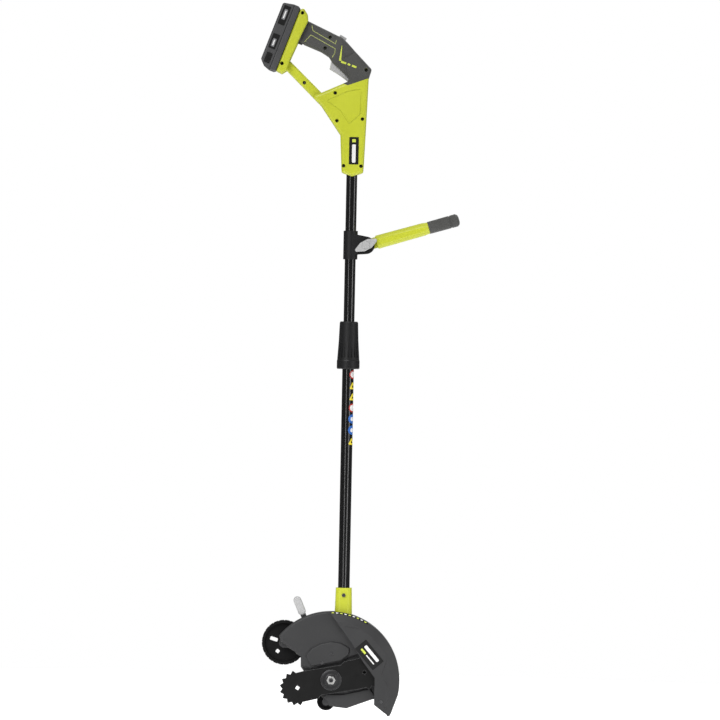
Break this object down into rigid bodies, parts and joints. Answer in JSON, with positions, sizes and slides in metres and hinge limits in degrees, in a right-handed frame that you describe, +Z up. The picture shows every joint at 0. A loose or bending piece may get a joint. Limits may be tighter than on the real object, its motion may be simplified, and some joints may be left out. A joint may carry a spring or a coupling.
{
  "type": "lawn edger",
  "caption": "Battery stick edger: D handle with slide-on battery, telescoping shaft with twist collar, stick front handle, and a shielded head with toothed blade, depth lever and wheels.",
  "frame": {"origin": "top of the D handle's opening, on the shaft's mid-plane, where a storage hook carries the edger", "axes": "+Z up along the shaft, +X forward away from the user's grip, the blade is on the -Y side"},
  "size_m": [0.4424, 0.1255, 1.5588],
  "materials": {
    "lime_plastic": "bright yellow-green moulded plastic, satin",
    "soft_grip": "dark grey soft-touch moulding, fine texture",
    "steel_screw": "black-coated steel",
    "light_plastic": "light grey moulded plastic",
    "black_plastic": "black moulded plastic, satin",
    "battery_plastic": "dark grey moulded plastic with a fine texture",
    "cell_wrap": "shrink-wrapped cells",
    "board_green": "solder-masked board",
    "copper_contact": "plated copper",
    "black_tube": "gloss black powder coat",
    "lead_sheath": "sheathed lead",
    "head_plastic": "dark grey moulded plastic, fine texture",
    "rubber_flap": "black rubber",
    "case_plastic": "black glass-filled plastic",
    "motor_steel": "plated steel",
    "machined_steel": "dark oiled steel",
    "blade_steel": "dark coated blade steel with worn edges",
    "zinc_nut": "bright zinc",
    "arm_steel": "black painted steel plate",
    "wheel_plastic": "black moulded plastic"
  },
  "bodies": {
    "handle": {"housing_near": "lime_plastic", "housing_far": "lime_plastic", "grip_near": "soft_grip", "grip_far": "soft_grip", "housing_screws": "steel_screw", "trigger_pin": "steel_screw", "trigger_switch": "black_plastic", "control_board": "board_green", "terminal_block": "black_plastic", "terminal_blade": "copper_contact", "upper_tube": "black_tube", "lead_upper": "lead_sheath"},
    "trigger": {"trigger": "light_plastic"},
    "lock_button": {"lock_button": "light_plastic"},
    "battery": {"battery_case": "battery_plastic", "battery_cover": "battery_plastic", "battery_cells": "cell_wrap"},
    "latch_near": {"latch_near": "black_plastic"},
    "latch_far": {"latch_far": "black_plastic"},
    "bracket": {"handle_bracket": "black_plastic", "pivot_bolt": "machined_steel"},
    "knob": {"wing_knob": "light_plastic"},
    "front_handle": {"front_bar": "lime_plastic", "front_grip": "soft_grip"},
    "lower": {"lower_tube": "black_tube", "collar_sleeve": "black_plastic", "collet": "black_plastic", "lead_lower": "lead_sheath", "coiled_lead": "lead_sheath", "shaft_socket": "lime_plastic", "head_body": "head_plastic", "shield": "head_plastic", "debris_flap": "rubber_flap", "gear_case": "case_plastic", "motor_cover": "case_plastic", "motor_can": "motor_steel", "front_bearing": "motor_steel", "rear_bearing": "motor_steel", "head_screws": "steel_screw", "arm_pivot": "steel_screw", "roller_axle": "steel_screw"},
    "collar": {"twist_collar": "black_plastic"},
    "blade": {"arbor": "machined_steel", "output_gear": "machined_steel", "inner_flange": "machined_steel", "blade": "blade_steel", "outer_flange": "machined_steel", "blade_nut": "zinc_nut"},
    "rotor": {"motor_rotor": "motor_steel", "pinion": "machined_steel"},
    "depth_arm": {"depth_arm": "arm_steel", "lever_knob": "light_plastic", "wheel_screw": "steel_screw"},
    "depth_wheel": {"depth_wheel": "wheel_plastic"},
    "roller": {"roller": "wheel_plastic"}
  },
  "joints": [
    {"name": "trigger_pull", "type": "hinge", "parent": "handle", "child": "trigger", "pos_m": [0.095, 0, -0.0674], "axis": [0, 1, 0], "range_deg": [0, 8], "stiffness_Nm_per_rad": 0.35, "springref_deg": -14.32},
    {"name": "lock_press", "type": "slide", "parent": "handle", "child": "lock_button", "axis": [-0.5, 0, -0.866], "range_m": [0, 0.003], "stiffness_N_per_m": 600, "springref_m": -0.002},
    {"name": "battery_release", "type": "slide", "parent": "handle", "child": "battery", "axis": [-0.937, 0, 0.3494], "range_m": [0, 0.055]},
    {"name": "latch_near_press", "type": "slide", "parent": "battery", "child": "latch_near", "axis": [0, 1, 0], "range_m": [0, 0.0025], "stiffness_N_per_m": 800, "springref_m": -0.002},
    {"name": "latch_far_press", "type": "slide", "parent": "battery", "child": "latch_far", "axis": [0, -1, 0], "range_m": [0, 0.0025], "stiffness_N_per_m": 800, "springref_m": -0.002},
    {"name": "bracket_slide", "type": "slide", "parent": "handle", "child": "bracket", "axis": [0, 0, 1], "range_m": [-0.03, 0.1]},
    {"name": "knob_turn", "type": "hinge", "parent": "bracket", "child": "knob", "pos_m": [0.1341, 0, -0.4329], "axis": [0, 1, 0], "range_deg": [-180, 0]},
    {"name": "front_handle_tilt", "type": "hinge", "parent": "bracket", "child": "front_handle", "pos_m": [0.1341, 0, -0.4329], "axis": [0, 1, 0], "range_deg": [-45, 45]},
    {"name": "shaft_telescope", "type": "slide", "parent": "handle", "child": "lower", "axis": [0, 0, 1], "range_m": [0, 0.1], "deforming": ["coiled_lead"]},
    {"name": "collar_twist", "type": "hinge", "parent": "lower", "child": "collar", "pos_m": [0.1, 0, -0.6574], "axis": [0, 0, 1], "range_deg": [-180, 0]},
    {"name": "blade_spin", "type": "hinge", "parent": "lower", "child": "blade", "pos_m": [0.076, -0.03, -1.3874], "axis": [0, 1, 0], "continuous": true},
    {"name": "motor_spin", "type": "hinge", "parent": "lower", "child": "rotor", "pos_m": [0.0661, 0.02, -1.34679], "axis": [0, 1, 0], "continuous": true},
    {"name": "depth_lever", "type": "hinge", "parent": "lower", "child": "depth_arm", "pos_m": [0.039, 0, -1.3104], "axis": [0, 1, 0], "range_deg": [0, 24]},
    {"name": "depth_wheel_spin", "type": "hinge", "parent": "depth_arm", "child": "depth_wheel", "pos_m": [-0.029, 0.026, -1.3088], "axis": [0, 1, 0], "continuous": true},
    {"name": "roller_spin", "type": "hinge", "parent": "lower", "child": "roller", "pos_m": [0.0655, 0.025, -1.4366], "axis": [0, 1, 0], "continuous": true}
  ],
  "couplings": [
    {"joint": "motor_spin", "follows": "blade_spin", "ratio": -4.4286}
  ]
}
